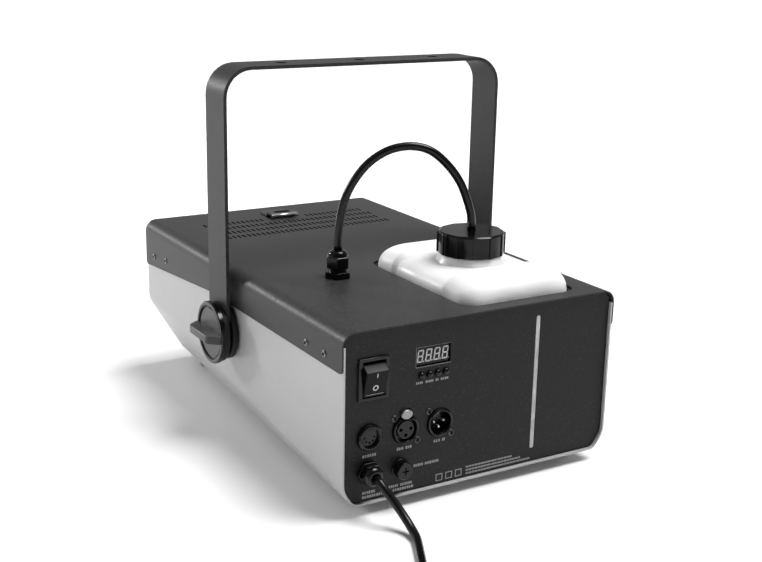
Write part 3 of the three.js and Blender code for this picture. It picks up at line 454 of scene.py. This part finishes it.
def soften(obj, width=0.0):
    """Shades the piece smooth except at its sharp edges, and rounds those off where a width is given."""
    smooth = obj.modifiers.new("smooth", "NODES")
    smooth.node_group = SMOOTHING
    if width:
        bevel = obj.modifiers.new("bevel", "BEVEL")
        bevel.width, bevel.segments = width, 2
        bevel.limit_method, bevel.angle_limit = "ANGLE", SHARP
        bevel.harden_normals = True


ROUNDED_EDGES = {
    "bottle_cap": 0.0006, "cord_gland": 0.0004, "cord_gland_nut": 0.0004, "hose_gland": 0.0004,
    "hose_gland_nut": 0.0004, "switch_rocker": 0.0003, "switch_frame": 0.0003}
for name, node in NODES.items():
    soften(node, ROUNDED_EDGES.get(name, 0.0))


# ---------------------------------------------------------------- shapes for the small pieces

MM = 0.001
PANEL_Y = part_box("rear_panel")[1][1] / MM


def boxes_mesh(boxes):
    """Vertices and faces of axis-aligned boxes given by two opposite corners in millimetres."""
    vertices, faces = [], []
    for low, high in boxes:
        first = len(vertices)
        vertices += [(x * MM, y * MM, z * MM) for x in (low[0], high[0]) for y in (low[1], high[1])
                     for z in (low[2], high[2])]
        faces += [tuple(first + i for i in face) for face in (
            (0, 1, 3, 2), (4, 6, 7, 5), (0, 4, 5, 1), (2, 3, 7, 6), (0, 2, 6, 4), (1, 5, 7, 3))]
    return vertices, faces


def lathe(profile, sides, place, outward):
    """A turned shape: the profile is (radius, height) in millimetres from place along outward."""
    turn = Vector(outward).to_track_quat("Z", "Y")
    vertices, faces = [], []
    for radius, height in profile:
        for k in range(sides):
            angle = 2 * math.pi * k / sides
            here = Vector((radius * math.cos(angle), radius * math.sin(angle), height))
            vertices.append((turn @ here + Vector(place)) * MM)
    for i in range(len(profile) - 1):
        for k in range(sides):
            a, b = i * sides + k, i * sides + (k + 1) % sides
            faces.append((a, b, b + sides, a + sides))
    faces.append(tuple(range(sides - 1, -1, -1)))
    last = (len(profile) - 1) * sides
    faces.append(tuple(range(last, last + sides)))
    return vertices, faces


# ---------------------------------------------------------------- screws

def make_screw(name, place, outward, radius, height, finish):
    """A cross-head screw: a domed ring round a recess with four arms, whose shade is painted as a near-black
    cross standing just proud of the dome.
    """
    dome = [(radius, 0), (radius, 0.35 * height), (0.9 * radius, 0.72 * height), (0.66 * radius, height),
            (0.46 * radius, height), (0.4 * radius, 0.5 * height), (0.01, 0.5 * height)]
    paint(mesh_object(name, *lathe(dome, 20, place, outward), "body", "steel"), finish)
    turn = Vector(outward).to_track_quat("Z", "Y").to_matrix().to_4x4()
    arm, width, top = 0.66 * radius, 0.22 * radius, 1.03 * height
    vertices, faces = boxes_mesh([
        ((-arm, -width, 0.4 * height), (arm, width, top)), ((-width, -arm, 0.4 * height), (width, arm, top))])
    move = Matrix.Translation(Vector(place) * MM) @ turn @ Matrix.Rotation(0.5, 4, "Z")
    cross = [move @ Vector(v) for v in vertices]
    # the cross is near-black painted shade for the screw's recess
    paint(mesh_object(name + "_recess", cross, faces, "body", "black_plastic", smooth=False), PAINTED_RECESS_SHADE)


COVER_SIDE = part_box("top_cover")[1][0] / MM
FLANGE_SCREWS = [(149, 129.9), (179.3, 130.1), (-185, 120.6), (-153, 123.8)]
SOCKET_SCREWS = [(83.1, 76.5), (61.6, 54.7), (51, 76.6), (29.4, 54.5)]
for side, name in ((1, "left"), (-1, "right")):
    for i, (y, z) in enumerate(FLANGE_SCREWS):
        place = (side * COVER_SIDE, y, z)
        make_screw(f"flange_screw_{name}_{i + 1}", place, (side, 0, 0), 3.0, 1.1, FLANGE_SCREW)
for i, (x, z) in enumerate(SOCKET_SCREWS):
    make_screw(f"socket_screw_{i + 1}", (x, PANEL_Y, z), (0, 1, 0), 2.9, 1.1, DARK_SCREW)


# ---------------------------------------------------------------- print and display on the panel

PRINT_DEPTH = 0.06


def lettering(left, low, width, height, count):
    """Plain blocks in a row, standing in for small print; the panel is seen from behind, so left is +X."""
    cell = width / count
    shares = (0.74, 0.62, 0.8, 0.68)
    boxes = []
    for i in range(count):
        start = left - i * cell
        end = start - cell * shares[i % len(shares)]
        boxes.append(((end, PANEL_Y, low), (start, PANEL_Y + PRINT_DEPTH, low + height)))
    return boxes


def outline(left, low, width, height, line):
    """The four sides of a plain square mark."""
    right, top = left - width, low + height
    y0, y1 = PANEL_Y, PANEL_Y + PRINT_DEPTH
    return [((right, y0, low), (left, y1, low + line)), ((right, y0, top - line), (left, y1, top)),
            ((right, y0, low + line), (right + line, y1, top - line)),
            ((left - line, y0, low + line), (left, y1, top - line))]


def make_print():
    """Rows of small print given by left edge, foot, width, height and letters, and three square marks."""
    words = [
        (64.0, 101.4, 6.6, 2.0, 4), (55.2, 101.4, 7.6, 2.0, 5), (45.8, 101.4, 3.4, 2.0, 2),
        (41.0, 101.4, 7.6, 2.0, 4), (111.6, 48.8, 12.9, 2.4, 6), (80.4, 48.8, 6.4, 2.4, 3),
        (72.4, 48.8, 6.0, 2.4, 3), (45.8, 48.8, 6.6, 2.4, 3), (37.8, 48.8, 3.2, 2.4, 2),
        (64.4, 31.4, 9.6, 2.2, 5), (53.6, 31.4, 13.6, 2.2, 8), (92.0, 17.8, 14.0, 2.2, 8),
        (76.4, 17.8, 11.4, 2.2, 6), (111.4, 17.8, 12.4, 2.2, 6), (111.4, 14.2, 26.0, 2.2, 12),
        (83.4, 14.2, 19.6, 2.2, 9), (13.2, 19.9, 47.0, 1.5, 32), (13.2, 17.0, 56.0, 1.5, 38),
        (13.2, 14.1, 66.0, 1.5, 44)]
    boxes = [box for word in words for box in lettering(*word)]
    for left in (42.6, 33.2, 23.8):
        boxes += outline(left, 14.2, 6.4, 6.2, 0.7)
    paint(mesh_object("panel_print", *boxes_mesh(boxes), "body", "light_strip", smooth=False), PRINT)


SEGMENT_LEAN = 0.14
DIGITS_LEFT = 63.2


def make_digits():
    """Four leaning seven-segment digits with their points, just in front of the display's face."""
    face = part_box("display_module")[1][1] / MM
    low, height, width, pitch, bar = 118.5, 10.4, 5.6, 7.7, 1.15
    half = height / 2
    boxes = []
    for i in range(4):
        left = DIGITS_LEFT - i * pitch
        for level in (0, half - bar / 2, height - bar):
            boxes.append((left - width + 0.5, left - 0.5, low + level, low + level + bar))
        for x in (left, left - width + bar):
            boxes.append((x - bar, x, low + bar * 0.8, low + half - 0.35))
            boxes.append((x - bar, x, low + half + 0.35, low + height - bar * 0.8))
        boxes.append((left - width - 1.5, left - width - 0.4, low, low + bar))
    solid = boxes_mesh([((x0, face, z0), (x1, face + 0.15, z1)) for x0, x1, z0, z1 in boxes])
    leaning = [(x - SEGMENT_LEAN * (z - low * MM), y, z) for x, y, z in solid[0]]
    paint(mesh_object("display_digits", leaning, solid[1], "body", "light_strip", smooth=False), SEGMENTS)


def make_display_edge_highlight():
    """Painted highlights on the bevelled edges of the display's window, as mid-grey strips: wide below and on
    the left, thin above.
    """
    y0, y1 = PANEL_Y, PANEL_Y + 0.2
    rim = [((32.2, y0, 115.0), (65.0, y1, 115.7)), ((64.5, y0, 115.0), (65.0, y1, 131.9)),
           ((32.2, y0, 131.6), (65.0, y1, 131.9))]
    # the strips are painted highlights on the window's edges
    paint(mesh_object("display_edge_highlight", *boxes_mesh(rim), "body", "steel", smooth=False), DISPLAY_EDGE_HIGHLIGHT)


make_print()
make_digits()
make_display_edge_highlight()


# ---------------------------------------------------------------- marks on the rocker

SWITCH_PIVOT = Vector((103.3, 199, 113.6)) * MM
REST_TILT = -14.5
ROCKER_TURN = Matrix.Translation(SWITCH_PIVOT) @ Matrix.Rotation(math.radians(REST_TILT), 4, "X")
ROCKER_FACE = 11.58                      # how far the marks lie from the pivot, just clear of the face
MARK_DEPTH = 0.08


def on_rocker(vertices):
    """Moves a mark drawn in x and z about the rocker's middle onto its face."""
    return [ROCKER_TURN @ (Vector(v) + Vector((0, ROCKER_FACE * MM, 0))) for v in vertices]


def ring_mesh(inner, outer, height, depth, sides):
    """A flat ring in x and z, raised along y, with its middle at that height."""
    vertices, faces = [], []
    for y in (0, depth):
        for radius in (inner, outer):
            vertices += [(radius * math.cos(2 * math.pi * k / sides) * MM, y * MM,
                          (radius * math.sin(2 * math.pi * k / sides) + height) * MM) for k in range(sides)]
    for k in range(sides):
        n = (k + 1) % sides
        a, b, c, d = (sides * row for row in range(4))
        faces += [(b + k, b + n, d + n, d + k), (a + n, a + k, c + k, c + n),
                  (c + k, d + k, d + n, c + n), (a + k, a + n, b + n, b + k)]
    return vertices, faces


def make_rocker_marks():
    """The stroke for on, the ring for off, and a thin line along the foot of the face."""
    stroke = ((-0.4, 0, 5.6), (0.4, MARK_DEPTH, 9.4))
    foot_line = ((-7.8, 0, -9.5), (7.8, MARK_DEPTH, -9.25))
    shapes = {"rocker_stroke": boxes_mesh([stroke, foot_line]),
              "rocker_ring": ring_mesh(1.5, 2.5, -3.6, MARK_DEPTH, 28)}
    for name, (vertices, faces) in shapes.items():
        mark = mesh_object(name, on_rocker(vertices), faces, "rocker", "light_strip", smooth=False)
        paint(mark, SEGMENTS)


make_rocker_marks()


# ---------------------------------------------------------------- knob rims and the eyelet's edge, with its painted highlight

KNOB_AXIS = (0, -4, 96)


def make_knob_rims():
    """The glossy ring round each knob's face."""
    profile = [(28.25, 145.3), (28.25, 148.6), (27.6, 149.5), (26.2, 149.8), (24.8, 149.5), (24.3, 148.9),
               (24.3, 147.8)]
    for side, name in ((1, "left"), (-1, "right")):
        vertices, faces = lathe(profile, 48, KNOB_AXIS, (side, 0, 0))
        rim = mesh_object(f"knob_rim_{name}", vertices, faces[:-2], f"knob_{name}", "black_plastic")
        soften(paint(rim, "black_plastic"))


def make_eyelet_edge():
    """The turned-down rear edge of the eyelet, painted as bright metal to show its highlight."""
    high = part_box("safety_eyelet")[1]
    y, z = high[1] / MM - 1.1, high[2] / MM - 1.7
    radius, steps = 1.35, 10
    angles = [math.pi * (i / steps - 0.25) for i in range(steps + 1)]
    section = [(radius * math.cos(angle), radius * math.sin(angle)) for angle in angles]
    vertices = [(x * MM, (y + dy) * MM, (z + dz) * MM) for x in (-11.5, 14.5) for dy, dz in section]
    count = len(section)
    faces = [(k, k + 1, count + k + 1, count + k) for k in range(count - 1)]
    faces.append((count - 1, 0, count, 2 * count - 1))
    faces += [tuple(range(count - 1, -1, -1)), tuple(range(count, 2 * count))]
    paint(mesh_object("eyelet_edge", vertices, faces, "body", "steel"), EYELET_EDGE_HIGHLIGHT)


make_knob_rims()
make_eyelet_edge()


# ---------------------------------------------------------------- bottle and the ribs of its cap

FULLNESS = 2.9                           # how square the bottle's shoulders are; 2 is an ellipse
BOTTLE = {"x": -47, "y": 114, "half_x": 56, "half_y": 78, "base": 28, "top": 172.5, "shoulder": 168.5}
CORNER, BASE_EDGE = 20, 8                # radii of the upright corners and of the edge round the base
SHOULDER_REACH, SHOULDER_FOOT = 34, 148  # how far in the shoulder runs, and the height where it starts
END_DROP = 19                            # how far the shoulder falls at each end
WAIST_START, WAIST_RAMP, WAIST_DEPTH = 37, 5, 2


def falling(to_end, radius, fullness=2.0):
    """How far an edge has fallen in at this distance from the end, as a share of its radius."""
    if to_end >= radius:
        return 0
    return 1 - (1 - ((radius - to_end) / radius) ** fullness) ** (1 / fullness)


def bottle_ring(y):
    """The bottle's outline across x at this y, as distances from its middle and heights."""
    b = BOTTLE
    to_end = max(b["half_y"] - abs(y - b["y"]), 0)
    waist = min(max((to_end - WAIST_START) / WAIST_RAMP, 0), 1)
    half = b["half_x"] - CORNER * falling(to_end, CORNER) - WAIST_DEPTH * waist
    crown = b["top"] + (b["shoulder"] - b["top"]) * waist
    crown -= END_DROP * falling(to_end, SHOULDER_REACH, FULLNESS)
    rise = max(crown - SHOULDER_FOOT, 1)
    right = [(half - BASE_EDGE * (1 - math.sin(math.radians(a))),
              b["base"] + BASE_EDGE * (1 - math.cos(math.radians(a)))) for a in range(0, 91, 15)]
    wall = crown - rise - b["base"] - BASE_EDGE
    right += [(half, b["base"] + BASE_EDGE + wall * i / 6) for i in range(1, 6)]
    for a in range(0, 91, 5):
        across, up = (max(f(math.radians(a)), 0) ** (2 / FULLNESS) for f in (math.cos, math.sin))
        right.append((half - SHOULDER_REACH * (1 - across), crown - rise * (1 - up)))
    right += [((half - SHOULDER_REACH) * (1 - i / 5), crown) for i in range(1, 5)]
    return right + [(-dx, z) for dx, z in reversed(right)]


def make_bottle():
    b = BOTTLE
    near = [0, 0.3, 1, 2, 3.5, 5, 7, 9.5, 12.5, 16, 20, 24, 29, 34, 36.9, 37.1, 39.5, 41.9, 42.1, 50, 60, 70]
    stations = near + [2 * b["half_y"] - d for d in reversed(near)]
    vertices, faces = [], []
    for along in stations:
        y = b["y"] - b["half_y"] + along
        vertices += [((b["x"] + dx) * MM, y * MM, z * MM) for dx, z in bottle_ring(y)]
    count = len(vertices) // len(stations)
    for i in range(len(stations) - 1):
        for k in range(count):
            a, c = i * count + k, i * count + (k + 1) % count
            faces.append((a, a + count, c + count, c))
    last = (len(stations) - 1) * count
    faces += [tuple(range(count)), tuple(range(last + count - 1, last - 1, -1))]
    bottle = mesh_object("bottle_shell", vertices, faces, "bottle", "bottle_plastic")
    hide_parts("fluid_bottle")
    soften(paint(bottle, "bottle_plastic"))
    centre = (b["x"], b["y"], 0)
    collar = [(33, 160), (31.5, 168), (29.4, 170.5), (28.4, 174), (27.6, 174.6), (24, 174.6), (24, 190.4),
              (20.5, 190.8)]
    ring = mesh_object("bottle_collar", *lathe(collar, 12, centre, (0, 0, 1)), "bottle", "bottle_plastic")
    soften(paint(ring, "bottle_plastic"), 0.0004)


def make_cap_ribs():
    """A narrow upright rib on each corner of the cap."""
    facets, radius, low, top = 12, 29.5, 175.2, 193.2
    vertices, faces = [], []
    middle = Matrix.Translation(Vector((BOTTLE["x"], BOTTLE["y"], 0)) * MM)
    for i in range(facets):
        turn = middle @ Matrix.Rotation(2 * math.pi * i / facets, 4, "Z")
        points, sides = boxes_mesh([((radius - 1.6, -0.8, low), (radius + 0.5, 0.8, top))])
        faces += [tuple(len(vertices) + k for k in side) for side in sides]
        vertices += [turn @ Vector(p) for p in points]
    ribs = mesh_object("cap_ribs", vertices, faces, "cap", "gloss_plastic", smooth=False)
    soften(paint(ribs, "gloss_plastic"), 0.0003)


make_bottle()
make_cap_ribs()


# ---------------------------------------------------------------- studio

def area_light(name, place, target, size, power):
    data = bpy.data.lights.new(name, "AREA")
    data.energy = power
    data.size = size
    light = bpy.data.objects.new(name, data)
    SCENE.collection.objects.link(light)
    light.location = place
    light.rotation_euler = (Vector(place) - Vector(target)).to_track_quat("Z", "Y").to_euler()


def sun_light(name, direction, spread, strength):
    data = bpy.data.lights.new(name, "SUN")
    data.energy, data.angle = strength, math.radians(spread)
    light = bpy.data.objects.new(name, data)
    SCENE.collection.objects.link(light)
    light.rotation_euler = Vector(direction).to_track_quat("Z", "Y").to_euler()


def make_floor():
    reach = 60
    corners = [(-reach, -reach, 0), (reach, -reach, 0), (reach, reach, 0), (-reach, reach, 0)]
    floor = mesh_object("floor", corners, [(0, 1, 2, 3)], None)
    m = Material("floor_paint", Metallic=0.0, Roughness=0.9, Specular_IOR_Level=0.2)
    cloud = m.noise(1.5, 2.0)
    m.colour(m.blend(cloud, (0.93, 0.93, 0.93, 1), (0.97, 0.97, 0.97, 1)))
    paint(floor, m.material)


def make_world(bright, dark, seen):
    """A white room that lights the object less than it is seen, and least from the side of the panel."""
    world = bpy.data.worlds.new("studio")
    world.use_nodes = True
    nodes, links = world.node_tree.nodes, world.node_tree.links
    background = nodes["Background"]
    background.inputs["Color"].default_value = (1, 1, 1, 1)
    split = nodes.new("ShaderNodeSeparateXYZ")
    links.new(nodes.new("ShaderNodeTexCoord").outputs["Generated"], split.inputs[0])
    room, strength = nodes.new("ShaderNodeMapRange"), nodes.new("ShaderNodeMapRange")
    room.inputs["From Min"].default_value = -0.3
    room.inputs["From Max"].default_value = 0.7
    room.inputs["To Min"].default_value = bright
    room.inputs["To Max"].default_value = dark
    links.new(split.outputs["Y"], room.inputs["Value"])
    links.new(nodes.new("ShaderNodeLightPath").outputs["Is Camera Ray"], strength.inputs["Value"])
    links.new(room.outputs["Result"], strength.inputs["To Min"])
    strength.inputs["To Max"].default_value = seen
    links.new(strength.outputs["Result"], background.inputs["Strength"])
    SCENE.world = world


make_floor()
make_world(bright=0.4, dark=0.07, seen=1.0)
sun_light("key", (-0.72, 0.3, 1.9), 32, 3.5)
area_light("side", (1.3, -2.0, 0.9), (0.1, 0, 0.1), 0.3, 25)
SCENE.view_settings.view_transform = "Standard"
